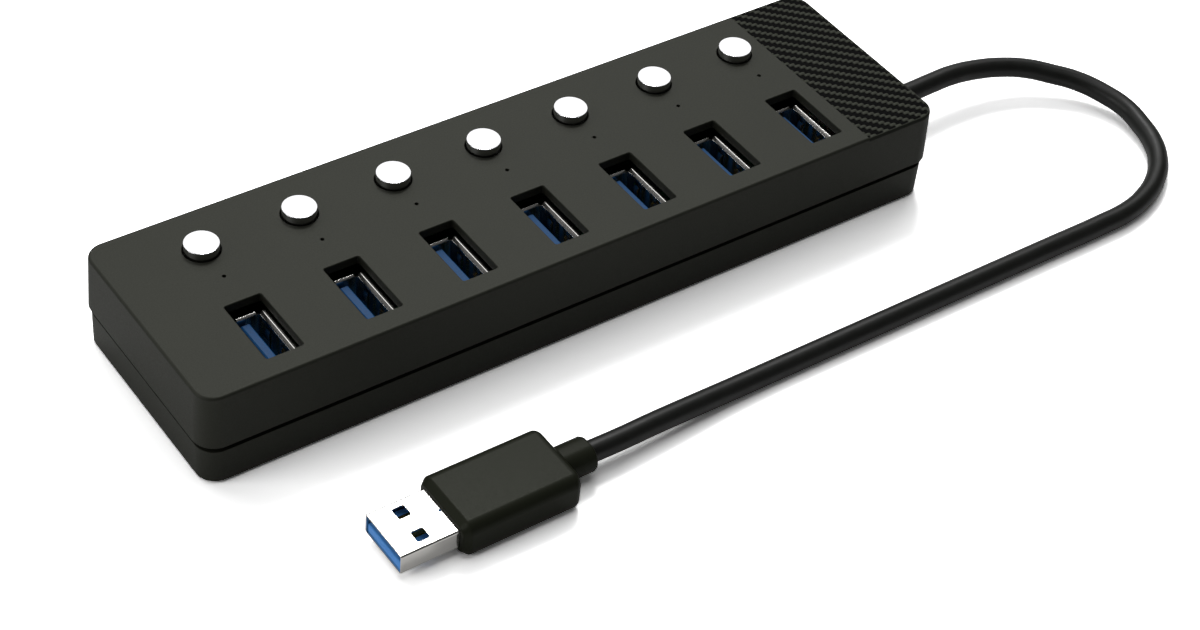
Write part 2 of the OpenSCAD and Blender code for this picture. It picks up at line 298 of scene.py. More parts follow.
def strip(bm, path, half_widths, place):
    """Bends a flat strip of sheet: path holds (outward, z, normal) of its inner face."""
    loops = []
    for (u, z, normal), w in zip(path, half_widths):
        v, h = u + SHEET * normal[0], z + SHEET * normal[1]
        loops.append([place(*p) for p in ((u, -w, z), (u, w, z), (v, w, h), (v, -w, h))])
    skin(bm, loops)


def flap_path(wall, flare_length, rim_length):
    """Inner face of a flap: up the wall, out on a 45 degree flare, then a flat rim."""
    path = [(wall, MOUTH_FOLD_Z - 0.6, (1, 0))]
    u, z, turn = wall, MOUTH_FOLD_Z, 0
    bends = ((45, FLARE_BEND_R, flare_length), (88, RIM_BEND_R, rim_length))
    for end_turn, radius, run in bends:
        for k in range(5):
            a = math.radians(turn + (end_turn - turn) * k / 4)
            start = math.radians(turn)
            path.append((u + radius * (math.cos(start) - math.cos(a)),
                         z + radius * (math.sin(a) - math.sin(start)),
                         (math.cos(a), -math.sin(a))))
        u, z, normal = path[-1]
        u, z, turn = u - run * normal[1], z + run * normal[0], end_turn
        path.append((u, z, normal))
    return path


def finger_path(wall):
    """Inner face of a spring finger: it leans in from its root and curls back out."""
    path = []
    for k in range(13):
        s = k / 12
        reach = FINGER_REACH * math.sin(math.pi * s ** 1.7) * (0.35 + 0.65 * s)
        path.append((wall - reach, WINDOW_Z[0] - 0.3 + s * (WINDOW_Z[1] - WINDOW_Z[0]), (1, 0)))
    return path


def port_tube(bm):
    """Walls of the folded shell."""
    outer = rounded(TUBE_X, TUBE_Y, 0.6)
    inner = rounded(TUBE_X - 2 * SHEET, TUBE_Y - 2 * SHEET, 0.3)
    skin(bm, [level(outer, BOARD_TOP), level(outer, MOUTH_FOLD_Z),
              level(inner, MOUTH_FOLD_Z), level(inner, BOARD_TOP)], ring=True)


def port_windows(bm):
    """Openings that the spring fingers are pressed out of."""
    for sx in (-1, 1):
        for sy in (-1, 1):
            skin(bm, box_loops(1.2, WINDOW_W, *WINDOW_Z, sx * TUBE_X / 2, sy * FINGER_Y))


def port_folds(bm):
    """The four flared flaps and the four fingers."""
    long_wall, short_wall = TUBE_X / 2 - SHEET, TUBE_Y / 2 - SHEET
    long_path, short_path = flap_path(long_wall, *LONG_FOLD), flap_path(short_wall, *SHORT_FOLD)
    bulk = [LONG_FLAP / 2] * (len(long_path) - 1) + [LONG_FLAP / 2 - 0.15]
    lug = [SHORT_FLAP / 2] * (len(short_path) - 1) + [SHORT_FLAP / 2 - 0.15]
    for s in (-1, 1):
        strip(bm, long_path, bulk, lambda u, w, z, s=s: (s * u, w, z))
        strip(bm, short_path, lug, lambda u, w, z, s=s: (w, s * u, z))
        for y in (-FINGER_Y, FINGER_Y):
            strip(bm, finger_path(long_wall), [FINGER_W / 2] * 13,
                  lambda u, w, z, s=s, y=y: (s * u, w + y, z))


def port_insert(bm):
    """Solid foot, then the tongue with a chamfered tip."""
    foot = rounded(TUBE_X - 2 * SHEET - 0.1, TUBE_Y - 2 * SHEET - 0.1, 0.25)
    tongue = rounded(TONGUE_T, TONGUE_W, 0.15)
    tip = rounded(TONGUE_T - 0.5, TONGUE_W - 0.5, 0.1)
    skin(bm, [level(foot, BOARD_TOP), level(foot, BOARD_TOP + SOLID_FOOT),
              level(tongue, BOARD_TOP + SOLID_FOOT, TONGUE_X),
              level(tongue, TONGUE_TOP - 0.25, TONGUE_X), level(tip, TONGUE_TOP, TONGUE_X)])


def tinned_steel():
    """Bright tin over rolled steel: it mirrors softly, with faint rolling streaks."""
    finish, tree, shader, place = new_finish("bright_tinned_steel", "#dcdad6", Metallic=1.0)
    along = add_node(tree, "Mapping", {}, {"Vector": place, "Scale": (1, 1, 0.08)})
    streaks = add_node(tree, "TexNoise", {}, {
        "Vector": along.outputs["Vector"], "Scale": 1 / (0.35 * MM), "Detail": 2.0}).outputs["Fac"]
    add_node(tree, "MapRange", {}, {"Value": streaks, "To Min": 0.04, "To Max": 0.28},
             {"Result": shader["Roughness"]})
    return finish


def blue_pbt(name, dark, light):
    """Glass-filled PBT coloured through: a clear blue with a satin skin."""
    finish, tree, shader, place = new_finish(name, light, IOR=1.57, Specular_IOR_Level=0.1)
    glass = add_node(tree, "TexNoise", {}, {
        "Vector": place, "Scale": 1 / (0.5 * MM), "Detail": 3.0}).outputs["Fac"]
    add_node(tree, "Mix", {"data_type": "RGBA"}, {
        "Factor_Float": glass, "A_Color": linear(dark), "B_Color": linear(light)},
        {"Result_Color": shader["Base Color"]})
    add_node(tree, "MapRange", {}, {"Value": glass, "To Min": 0.24, "To Max": 0.58},
             {"Result": shader["Roughness"]})
    add_node(tree, "Bump", {}, {"Height": glass, "Distance": 0.006 * MM},
             {"Normal": shader["Normal"]})
    return finish


def gold_flash():
    """Thin gold over nickel on the contacts: warm, bright, slightly streaked."""
    finish, tree, shader, place = new_finish("gold_flash", "#e8c06a", Metallic=1.0)
    wear = add_node(tree, "TexNoise", {}, {
        "Vector": place, "Scale": 1 / (0.2 * MM), "Detail": 3.0}).outputs["Fac"]
    add_node(tree, "MapRange", {}, {"Value": wear, "To Min": 0.05, "To Max": 0.4},
             {"Result": shader["Roughness"]})
    return finish


steel, gold = tinned_steel(), gold_flash()
# The ports' insulators and the plug's are the same blue PBT. The ports' copy is painted darker, a
# painted shade for their depth; the plug's copy further down is painted lighter, painted light on
# its open mouth.
port_pbt_painted_shade = blue_pbt("blue_pbt_painted_shade", "#113a63", "#1d5a92")
tube = carve(make_mesh("port_tube", port_tube), make_mesh("port_windows", port_windows))
shell_mesh = carve(tube, make_mesh("port_folds", port_folds), "UNION")
insert_mesh = make_mesh("port_insert", port_insert)
port_places = [middle(f"receptacle_shell_{i}") for i in PORTS]
for i, (x, y, _) in zip(PORTS, port_places):
    spot = (x * MM, y * MM, 0)
    add_piece(f"port_shell_{i}", shell_mesh, steel,
              [f"receptacle_shell_{i}"], at=spot)
    add_piece(f"port_insert_{i}", insert_mesh, port_pbt_painted_shade,
              [f"receptacle_insert_{i}"], at=spot)
paint(gold, "receptacle_contacts", "plug_contacts")
paint(steel, "crystal")

# --- Lower shell -------------------------------------------------------------------
# An ABS tray, injection moulded in a spark-eroded tool, so that its outside has a
# fine even grain. An inner lip shows at the bottom of the parting groove, and four
# pillars take the screws that hold the case together.
case_low, case_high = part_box("bottom_shell")
upper_low, upper_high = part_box("top_shell")
CASE_L = (case_high.x - case_low.x) / MM
CASE_W = (case_high.y - case_low.y) / MM
CORNER, EDGE, WALL = 4.0, 0.6, 2.0
CASE_Z, LIP_Z = case_low.z / MM, case_high.z / MM
FLOOR_Z = CASE_Z + 1.8
LIP_IN = 0.9
GROOVE_BOTTOM, GROOVE_TOP = LIP_Z - 2.4, upper_low.z / MM
GROOVE_EDGE = 0.12
SCREW_XY = [(x, y) for x in (-76, 76) for y in (-17, 17)]
SCREW_R, SCREW_HEAD_R, SCREW_HEAD_Z = 1.3, 2.6, 3
PILLAR_R, PILLAR_TOP = 3.6, 9.8
BOSS_XY = [(x, y) for x in (-55, -13.7, 27.7) for y in (-16, 16)]
BOSS_R, BOSS_TOP = 2, BOARD_TOP - 1.6
FOOT_R, FOOT_T = 4.4, 0.9
_, EXIT_Y, EXIT_Z = middle("lead_grommet")
EXIT_R = 3.05


def case_loop(grow, z):
    """The outline of the case, grown or shrunk evenly, at a height."""
    return level(rounded(CASE_L + 2 * grow, CASE_W + 2 * grow, max(CORNER + grow, 0.5), 10), z)


def rim(grow, z, radius, start, end, steps=5):
    """Loops round a quarter-circle edge whose centre is radius inside (grow, z)."""
    loops = []
    for k in range(steps + 1):
        a = math.radians(start + (end - start) * k / steps)
        loops.append(case_loop(grow - radius + radius * math.cos(a), z + radius * math.sin(a)))
    return loops


def tray(bm):
    """One skin: inside floor, up the wall, over the lip, down to the groove, outside."""
    skin(bm, [case_loop(-WALL, FLOOR_Z), case_loop(-WALL, LIP_Z),
              case_loop(-LIP_IN - 0.2, LIP_Z), case_loop(-LIP_IN, LIP_Z - 0.2),
              case_loop(-LIP_IN, GROOVE_BOTTOM)]
         + rim(0, GROOVE_BOTTOM - GROOVE_EDGE, GROOVE_EDGE, 90, 0, 3)
         + rim(0, CASE_Z + EDGE, EDGE, 0, -90))


def pillars(bm):
    """Screw pillars in the corners and bosses under the board, rooted in the floor."""
    for x, y in SCREW_XY:
        skin(bm, [level(circle(PILLAR_R, 32), z, x, y) for z in (FLOOR_Z - 0.5, PILLAR_TOP)])
    for x, y in BOSS_XY:
        skin(bm, [level(circle(BOSS_R, 24), z, x, y) for z in (FLOOR_Z - 0.5, BOSS_TOP)])


def lead_bore(bm):
    """The hole through the end wall at the parting line."""
    wall = CASE_L / 2
    skin(bm, [station(circle(EXIT_R, 40), x, EXIT_Y, EXIT_Z) for x in (wall - 4, wall + 6)])


def tray_holes(bm):
    """Foot recesses, stepped screw holes through the pillars and the hole for the lead."""
    recess = FOOT_R + 0.1
    steps = ((recess, -1), (recess, FOOT_T), (SCREW_HEAD_R, FOOT_T),
             (SCREW_HEAD_R, SCREW_HEAD_Z), (SCREW_R, SCREW_HEAD_Z), (SCREW_R, 18))
    for x, y in SCREW_XY:
        skin(bm, [level(circle(r, 40), z, x, y) for r, z in steps])
    lead_bore(bm)


def spark_eroded_abs():
    """Black ABS from a spark-eroded mould: matt, with a grain too fine to see singly.
    The real grain is about 0.05 mm; it is drawn at 0.3 mm so that it shows at all."""
    finish, tree, shader, place = new_finish(
        "spark_eroded_abs", "#161710", IOR=1.53, Specular_IOR_Level=0.32,
        Specular_Tint=linear("#fcfff0"))
    grain = add_node(tree, "TexNoise", {}, {
        "Vector": place, "Scale": 1 / (0.3 * MM), "Detail": 3.0}).outputs["Fac"]
    cloud = add_node(tree, "TexNoise", {}, {
        "Vector": place, "Scale": 1 / (14 * MM), "Detail": 1.0}).outputs["Fac"]
    add_node(tree, "Mix", {"data_type": "RGBA"}, {
        "Factor_Float": cloud, "A_Color": linear("#13140e"), "B_Color": linear("#191a13")},
        {"Result_Color": shader["Base Color"]})
    add_node(tree, "MapRange", {}, {"Value": grain, "To Min": 0.48, "To Max": 0.7},
             {"Result": shader["Roughness"]})
    add_node(tree, "Bump", {}, {"Height": grain, "Distance": 0.004 * MM},
             {"Normal": shader["Normal"]})
    return finish


abs_plastic = spark_eroded_abs()
tray_mesh = carve(make_mesh("tray", tray), make_mesh("pillars", pillars), "UNION")
tray_mesh = carve(tray_mesh, make_mesh("tray_holes", tray_holes))
lower_case = add_piece("lower_case", tray_mesh, abs_plastic, ["bottom_shell"])
even_normals(lower_case)

# --- Screws and feet ---------------------------------------------------------------
# Four zinc-plated self-tapping screws, and over each a die-cut silicone foot stuck
# into its recess. The feet carry the hub 0.3 mm clear of the table.


def zinc_plate():
    """Bright zinc: bluish grey metal with a soft bloom."""
    finish, tree, shader, place = new_finish("bright_zinc", "#a9adb3", Metallic=1.0)
    bloom = add_node(tree, "TexNoise", {}, {
        "Vector": place, "Scale": 1 / (0.8 * MM), "Detail": 3.0}).outputs["Fac"]
    add_node(tree, "MapRange", {}, {"Value": bloom, "To Min": 0.16, "To Max": 0.56},
             {"Result": shader["Roughness"]})
    return finish


def silicone_rubber():
    """Black silicone sheet: dull, faintly dusty."""
    finish, tree, shader, place = new_finish(
        "black_silicone", "#18181a", IOR=1.43, Sheen_Weight=0.15)
    dust = add_node(tree, "TexNoise", {}, {
        "Vector": place, "Scale": 1 / (0.5 * MM), "Detail": 3.0}).outputs["Fac"]
    add_node(tree, "MapRange", {}, {"Value": dust, "To Min": 0.52, "To Max": 0.92},
             {"Result": shader["Roughness"]})
    add_node(tree, "Bump", {}, {"Height": dust, "Distance": 0.01 * MM},
             {"Normal": shader["Normal"]})
    return finish


def feet(bm):
    """Four discs, rounded over the part that stands out below the case."""
    profile = [(FOOT_R, FOOT_T)]
    for k in range(5):
        a = math.radians(90 * k / 4)
        profile.append((FOOT_R - CASE_Z * (1 - math.cos(a)), CASE_Z * (1 - math.sin(a))))
    for x, y in SCREW_XY:
        skin(bm, [level(circle(r, 48), z, x, y) for r, z in profile])


paint(zinc_plate(), "case_screws")
add_piece("stick_on_feet", make_mesh("feet", feet), silicone_rubber(),
          ["rubber_feet"])

# --- Lead --------------------------------------------------------------------------
# A round USB 3 lead, 4.4 mm over its extruded PVC jacket. Its cores go to a header
# on the board. Both shells clamp a grommet, moulded on the jacket, whose ribbed
# tail keeps the lead from kinking where it leaves the case.
LEAD_D = 4.4
ROUTE = [
    (77, -4, 8.7), (84, -4, 8.7), (90, -4, 8.7), (96, -4, 8.7), (102, -3.7, 8.6),
    (108, -3.5, 8.4), (114.5, -4, 7.8), (121, -5.5, 7.1), (126.5, -8, 6.4),
    (131, -11.5, 5.6), (135, -15.5, 4.9), (138, -21, 4.1), (139.5, -27, 3.4),
    (139, -32, 2.9), (137.5, -37.5, 2.5), (134, -43, 2.3), (129, -47.3, 2.2),
    (123, -50.3, 2.2), (116.5, -52, 2.2), (108, -52.4, 2.2), (95, -52.4, 2.2),
    (80, -52.4, 2.2), (65, -52.4, 2.2), (50, -52.4, 2.2), (35, -52.4, 2.2),
    (22, -52.4, 2.2), (12, -52.6, 2.5), (3, -53, 3.1), (-7, -53.5, 3.8),
    (-15, -53.8, 4), (-22.4, -53.8, 4.1)]
FLANGE_X, FLANGE_R = 80.4, 4.2
WAIST_R = 3.0
RELIEF_X, RELIEF_R = 84.9, 3.9
RIBS, RIB_PITCH = 4, 1.5
RIB_R, RIB_TAPER, RIB_DEPTH = 3.3, 0.65, 0.35


def lead_curve():
    """The jacket as one smooth curve through the route."""
    curve = bpy.data.curves.new("lead_jacket", "CURVE")
    curve.dimensions = "3D"
    curve.bevel_depth = (LEAD_D / 2 - 0.01) * MM
    curve.bevel_resolution = 6
    curve.resolution_u = 10
    curve.use_fill_caps = True
    spline = curve.splines.new("BEZIER")
    spline.bezier_points.add(len(ROUTE) - 1)
    for point, place in zip(spline.bezier_points, ROUTE):
        point.co = [c * MM for c in place]
        point.handle_left_type = point.handle_right_type = "AUTO"
    return curve


def grommet(bm):
    """Flange inside the wall, waist in it, collar outside, then a ribbed taper."""
    bore = LEAD_D / 2 + 0.05
    profile = [(bore, FLANGE_X), (FLANGE_R - 0.2, FLANGE_X), (FLANGE_R, FLANGE_X + 0.2),
               (FLANGE_R, FLANGE_X + 1.6), (FLANGE_R - 0.2, FLANGE_X + 1.8),
               (WAIST_R, FLANGE_X + 1.8), (WAIST_R, RELIEF_X), (RELIEF_R - 0.2, RELIEF_X),
               (RELIEF_R, RELIEF_X + 0.2), (RELIEF_R, RELIEF_X + 1),
               (RELIEF_R - 0.2, RELIEF_X + 1.2)]
    for k in range(RIBS):
        x = RELIEF_X + 1.4 + k * RIB_PITCH
        r = RIB_R - RIB_TAPER * k / (RIBS - 1)
        profile += [(r - RIB_DEPTH, x), (r - 0.05, x + 0.1), (r, x + 0.25), (r, x + 0.8),
                    (r - 0.05, x + 0.95), (r - RIB_DEPTH, x + 1.05)]
    profile.append((bore, profile[-1][1] + 0.1))
    skin(bm, [station(circle(r, 40), x, EXIT_Y, EXIT_Z) for r, x in profile], ring=True)


def pvc_jacket():
    """Extruded PVC: satin black, its gloss faintly uneven where the die drew it out."""
    finish, tree, shader, place = new_finish(
        "extruded_pvc", "#121310", IOR=1.53, Specular_IOR_Level=0.3)
    flow = add_node(tree, "TexNoise", {}, {
        "Vector": place, "Scale": 1 / (2.5 * MM), "Detail": 3.0}).outputs["Fac"]
    grain = add_node(tree, "TexNoise", {}, {
        "Vector": place, "Scale": 1 / (0.35 * MM), "Detail": 3.0}).outputs["Fac"]
    add_node(tree, "MapRange", {}, {"Value": flow, "To Min": 0.3, "To Max": 0.56},
             {"Result": shader["Roughness"]})
    add_node(tree, "Bump", {}, {"Height": grain, "Distance": 0.004 * MM},
             {"Normal": shader["Normal"]})
    return finish


def core_insulation():
    """Polyethylene on the cores: glossy red."""
    finish, tree, shader, place = new_finish("core_polyethylene", "#b23a2e", IOR=1.51)
    wax = add_node(tree, "TexNoise", {}, {
        "Vector": place, "Scale": 1 / (0.6 * MM), "Detail": 3.0}).outputs["Fac"]
    add_node(tree, "MapRange", {}, {"Value": wax, "To Min": 0.15, "To Max": 0.47},
             {"Result": shader["Roughness"]})
    return finish


paint(nylon, "lead_header")
paint(core_insulation(), "lead_wires")
jacket = pvc_jacket()
relief = add_piece("lead_relief", make_mesh("grommet", grommet), jacket,
                   ["lead_grommet"])
lead = add_piece("lead_cord", lead_curve(), jacket, ["cord"])

# --- Upper shell -------------------------------------------------------------------
# The cover, moulded in the same grained ABS. Its walls lean in a little towards the
# top, every edge is broken by the tool, and its top plate has the port openings, the
# round holes of the buttons and a pin-hole over each lamp.
TOP_Z = upper_high.z / MM
PLATE_T = 1.8
DRAFT = 0.5
LIP_CLEAR = 0.15
TRIM_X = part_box("textured_end_plate")[0].x / MM - 0.1
TRIM_T = 0.8
STEP_X, STEP_Y = 30, 60
OPENING_X, OPENING_Y, OPENING_R, OPENING_LIP = 7.6, 15.6, 0.4, 0.25
HOLE_R, HOLE_LIP = 3.7, 0.12
LAMP_R, LAMP_LIP = 0.4, 0.06
button_places = [middle(f"button_cap_{i}") for i in PORTS]
lamp_y = middle("leds")[1]


def cover(bm):
    """One skin: ceiling, down the inside, round the lower rim, up and over the top."""
    inside = TOP_Z - PLATE_T
    skin(bm, [case_loop(-WALL, inside), case_loop(-WALL, LIP_Z),
              case_loop(LIP_CLEAR - LIP_IN, LIP_Z), case_loop(LIP_CLEAR - LIP_IN, GROOVE_TOP)]
         + rim(DRAFT, GROOVE_TOP + GROOVE_EDGE, GROOVE_EDGE, -90, 0, 3)
         + rim(0, TOP_Z - EDGE, EDGE, 0, 90, 6))


def edge_broken_hole(bm, outline_at, x, y, lip):
    """A cutter whose top flares, so that the hole it cuts has a rounded lip."""
    loops = [level(outline_at(0), TOP_Z - PLATE_T - 1, x, y)]
    for k in range(5):
        a = math.radians(90 * k / 4)
        loops.append(level(outline_at(lip * (1 - math.cos(a))),
                           TOP_Z - lip + (lip + 0.01) * math.sin(a), x, y))
    loops.append(level(outline_at(lip), TOP_Z + 2, x, y))
    skin(bm, loops)


def cover_holes(bm):
    """Every opening of the top plate, the step for the trim and the lead's hole."""
    for x, y, _ in port_places:
        edge_broken_hole(bm, lambda g: rounded(
            OPENING_X + 2 * g, OPENING_Y + 2 * g, OPENING_R + g), x, y, OPENING_LIP)
    for x, y, _ in button_places:
        edge_broken_hole(bm, lambda g: circle(HOLE_R + g, 64), x, y, HOLE_LIP)
        edge_broken_hole(bm, lambda g: circle(LAMP_R + g, 24), x, lamp_y, LAMP_LIP)
    skin(bm, box_loops(STEP_X, STEP_Y, TOP_Z - TRIM_T, TOP_Z + 3, TRIM_X + STEP_X / 2))
    lead_bore(bm)


cover_mesh = carve(make_mesh("cover", cover), make_mesh("cover_holes", cover_holes))
upper_case = add_piece("upper_case", cover_mesh, abs_plastic, ["top_shell"])
even_normals(upper_case)

# --- Trim plate --------------------------------------------------------------------
# A thin ABS plate bonded into the step at the lead end. Its top is moulded as a
# two-by-two twill of flat yarns, the look of woven carbon fibre: each yarn floats
# over two others, and the floats step along into diagonal rows.
YARN = 0.833
RELIEF = 0.26
WEFT_CROWN = 0.2
GRID = 0.13


def twill(x, y):
    """How deep the weave lies below its crests at a point, from 0 to 1."""
    i, j = math.floor(x / YARN), math.floor(y / YARN)
    across, along = y / YARN - j - 0.5, x / YARN - i
    phase = (i + j) % 4
    crown = 1.0
    if phase >= 2:
        across, along, crown = x / YARN - i - 0.5, y / YARN - j, WEFT_CROWN
    float_run = (phase % 2 + along) / 2
    rise = math.sqrt(max(0.0, math.sin(math.pi * float_run)))
    bulge = math.sqrt(max(0.0, 1 - (1.75 * across) ** 2))
    return 1 - crown * rise * bulge


def edge_depth(x, y):
    """Distance in from the outline of the plate's two long sides and its outer end."""
    qx, qy = x - (CASE_L / 2 - CORNER), abs(y) - (CASE_W / 2 - CORNER)
    return CORNER - math.hypot(max(qx, 0), max(qy, 0)) - min(max(qx, qy), 0)


def trim_top(x, y):
    """Height of the woven face, rolled over at the outer edge."""
    inset = min(max(edge_depth(x, y), 0.0), EDGE)
    roll = EDGE - math.sqrt(max(0.0, EDGE ** 2 - (EDGE - inset) ** 2))
    return TOP_Z - max(roll, RELIEF * twill(x, y) * inset / EDGE)


def trim(bm):
    """A height field over the plate, with walls and a flat underside."""
    start, corner = TRIM_X + 0.06, CASE_L / 2 - CORNER
    count = round((corner - start) / GRID)
    columns = [start + (corner - start) * k / count for k in range(count)]
    columns += [corner + CORNER * math.sin(math.radians(3 * k)) for k in range(31)]
    rows = round(CASE_W / GRID)
    top, under = [], []
    for x in columns:
        bend = max(0.0, x - corner)
        half = CASE_W / 2 - CORNER + math.sqrt(max(0.0, CORNER ** 2 - bend ** 2))
        ys = [half * (2 * k / rows - 1) for k in range(rows + 1)]
        top.append([bm.verts.new((x * MM, y * MM, trim_top(x, y) * MM)) for y in ys])
        under.append([bm.verts.new((x * MM, y * MM, (TOP_Z - TRIM_T) * MM)) for y in ys])
    for a in range(len(columns) - 1):
        for b in range(rows):
            bm.faces.new((top[a][b], top[a + 1][b], top[a + 1][b + 1], top[a][b + 1]))
            bm.faces.new((under[a][b], under[a][b + 1], under[a + 1][b + 1], under[a + 1][b]))
        for b, (p, q) in ((0, (a, a + 1)), (rows, (a + 1, a))):
            bm.faces.new((top[p][b], under[p][b], under[q][b], top[q][b]))
    for column, (p, q) in ((0, (1, 0)), (len(columns) - 1, (0, 1))):
        for b in range(rows):
            bm.faces.new((top[column][b + p], under[column][b + p],
                          under[column][b + q], top[column][b + q]))


def moulded_weave():
    """Black ABS moulded against a carbon weave. Its colour is painted by height: the valleys
    between the yarns are painted black, a painted shade, and the crests are painted light grey, a
    painted sheen in place of the reflection that its low specular leaves out. The plate's sides
    and its rim along the long edges are lifted part of the way towards that grey."""
    # The specular is nearly off; the painted sheen on the crests stands in for it.
    finish, tree, shader, place = new_finish(
        "weave_abs_painted_shade_and_sheen", "#42443d", IOR=1.53, Specular_IOR_Level=0.02)
    fibre = add_node(tree, "TexNoise", {}, {
        "Vector": place, "Scale": 1 / (0.25 * MM), "Detail": 2.0}).outputs["Fac"]
    axes = add_node(tree, "SeparateXYZ", {}, {"Vector": place}).outputs
    # Masks, by height and by nearness to the long edges, that place the painted sheen and the
    # painted shade.
    crest = add_node(tree, "MapRange", {}, {
        "Value": axes["Z"], "From Min": (TOP_Z - 0.8 * RELIEF) * MM,
        "From Max": (TOP_Z - 0.3 * RELIEF) * MM}).outputs["Result"]
    wall = add_node(tree, "MapRange", {}, {
        "Value": axes["Z"], "From Min": (TOP_Z - 1.3 * RELIEF) * MM,
        "From Max": (TOP_Z - 1.05 * RELIEF) * MM, "To Min": 0.2, "To Max": 0.0}).outputs["Result"]
    across = add_node(tree, "Math", {"operation": "ABSOLUTE"}, {"Value": axes["Y"]})
    border = add_node(tree, "MapRange", {}, {
        "Value": across.outputs["Value"], "From Min": (CASE_W / 2 - 0.45) * MM,
        "From Max": (CASE_W / 2 - 0.25) * MM, "To Max": 0.35}).outputs["Result"]
    plain = add_node(tree, "Math", {"operation": "MAXIMUM"}, {
        "Value": border, "Value_001": wall}).outputs["Value"]
    bright = add_node(tree, "Math", {"operation": "MAXIMUM"}, {
        "Value": crest, "Value_001": plain}).outputs["Value"]
    # Painted shade and sheen: black where the mask is 0, light grey where it is 1.
    add_node(tree, "Mix", {"data_type": "RGBA"}, {
        "Factor_Float": bright, "A_Color": linear("#010101"), "B_Color": linear("#42443d")},
        {"Result_Color": shader["Base Color"]})
    add_node(tree, "MapRange", {}, {"Value": fibre, "To Min": 0.3, "To Max": 0.56},
             {"Result": shader["Roughness"]})
    add_node(tree, "Bump", {}, {"Height": fibre, "Distance": 0.004 * MM},
             {"Normal": shader["Normal"]})
    return finish


add_piece("woven_trim", make_mesh("trim", trim, 70), moulded_weave(),
          ["textured_end_plate"])

# --- Buttons and light pipes -------------------------------------------------------
# Each cap is a drum of chrome-plated ABS pressed on a switch plunger; a flange under
# the top plate stops it. Clear acrylic rods lead the lamps' light to the pin-holes.
CAP_LOW, CAP_TOP = (corner.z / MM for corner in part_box("button_cap_1"))
CAP_R, CAP_EDGE = 3.4, 0.12
SOCKET_R, SKIRT_R = 1.52, 2.6
STOP_R, STOP_T, STOP_PLAY = 4.4, 1.2, 0.3


def cap(bm):
    """From the socket's roof, down and out under the flange, up to the flat top."""
    stop = TOP_Z - PLATE_T - STOP_PLAY
    profile = [(SOCKET_R, stop - STOP_T), (SOCKET_R, CAP_LOW), (SKIRT_R, CAP_LOW),
               (SKIRT_R, stop - STOP_T), (STOP_R - 0.1, stop - STOP_T),
               (STOP_R, stop - STOP_T + 0.1), (STOP_R, stop - 0.1), (STOP_R - 0.1, stop),
               (CAP_R, stop), (CAP_R, TOP_Z - 0.4)]
    for k in range(7):
        a = math.radians(90 * k / 6)
        profile.append((CAP_R - CAP_EDGE + CAP_EDGE * math.cos(a),
                        CAP_TOP - CAP_EDGE + CAP_EDGE * math.sin(a)))
    skin(bm, [level(circle(r, 96), z) for r, z in profile])


def chrome_plate():
    """Decorative chrome over copper and nickel: a near mirror with a trace of orange peel."""
    finish, tree, shader, place = new_finish("chrome_plate", "#e4e4e6", Metallic=1.0)
    peel = add_node(tree, "TexNoise", {}, {
        "Vector": place, "Scale": 1 / (1.5 * MM), "Detail": 3.0}).outputs["Fac"]
    add_node(tree, "MapRange", {}, {"Value": peel, "To Min": 0.03, "To Max": 0.13},
             {"Result": shader["Roughness"]})
    add_node(tree, "Bump", {}, {"Height": peel, "Distance": 0.002 * MM},
             {"Normal": shader["Normal"]})
    return finish


def clear_acrylic():
    """Cast acrylic rod: clear, so that it looks dark where nothing is lit behind it."""
    finish, tree, shader, place = new_finish(
        "clear_acrylic", "#dfe6ea", IOR=1.49, Transmission_Weight=1.0)
    draw = add_node(tree, "TexNoise", {}, {
        "Vector": place, "Scale": 1 / (0.4 * MM), "Detail": 3.0}).outputs["Fac"]
    add_node(tree, "MapRange", {}, {"Value": draw, "To Min": 0.01, "To Max": 0.2},
             {"Result": shader["Roughness"]})
    return finish


chrome = chrome_plate()
cap_mesh = make_mesh("cap", cap)
for i, (x, y, _) in zip(PORTS, button_places):
    button = add_piece(f"chrome_cap_{i}", cap_mesh, chrome,
                       [f"button_cap_{i}"], f"button_{i}", (x * MM, y * MM, 0))
    even_normals(button)
paint(clear_acrylic(), "light_pipes")

# --- Plug --------------------------------------------------------------------------
# A USB-A plug. Its shell is folded from plated steel with two latch windows in each
# face; a blue insulator fills the lower half of its mouth, and a PVC grip is moulded
# over the joint between the shell and the lead.
PLUG_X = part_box("plug_shell")[0].x / MM
_, PLUG_Y, PLUG_Z = middle("plug_shell")
PLUG_W, PLUG_H = 12.0, 4.5
LATCH_X, LATCH_Y = PLUG_X + 5.6, 3.1
LATCH_L, LATCH_W = 2.6, 2.8
GRIP_X, GRIP_END = (corner.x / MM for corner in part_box("plug_grip"))
GRIP_W, GRIP_H, GRIP_R = 16.0, 8.2, 2.3
NOSE_X, NOSE_L = GRIP_X + 0.35, 1.25
SHOULDER = 1.5
NECK_X = GRIP_END - 6.6
NECK_W, NECK_H, NECK_R = 7.2, 6.2, 2.95
NOTCH_X, NOTCH_R = NOSE_X - 0.45, 0.28


def plug_loops(stations):
    """Upright outlines along the plug from (x, width, height, corner radius)."""
    return [station(rounded(w, h, r, 6), x, PLUG_Y, PLUG_Z) for x, w, h, r in stations]


def plug_tube(bm):
    """The folded shell, its mouth edge eased by the blanking tool."""
    inner_w, inner_h = PLUG_W - 2 * SHEET, PLUG_H - 2 * SHEET
    skin(bm, plug_loops([
        (GRIP_X + 5, PLUG_W, PLUG_H, 0.45), (PLUG_X + 0.08, PLUG_W, PLUG_H, 0.45),
        (PLUG_X, PLUG_W - 0.12, PLUG_H - 0.12, 0.4),
        (PLUG_X, inner_w + 0.12, inner_h + 0.12, 0.22),
        (PLUG_X + 0.08, inner_w, inner_h, 0.2), (GRIP_X + 5, inner_w, inner_h, 0.2)]), ring=True)


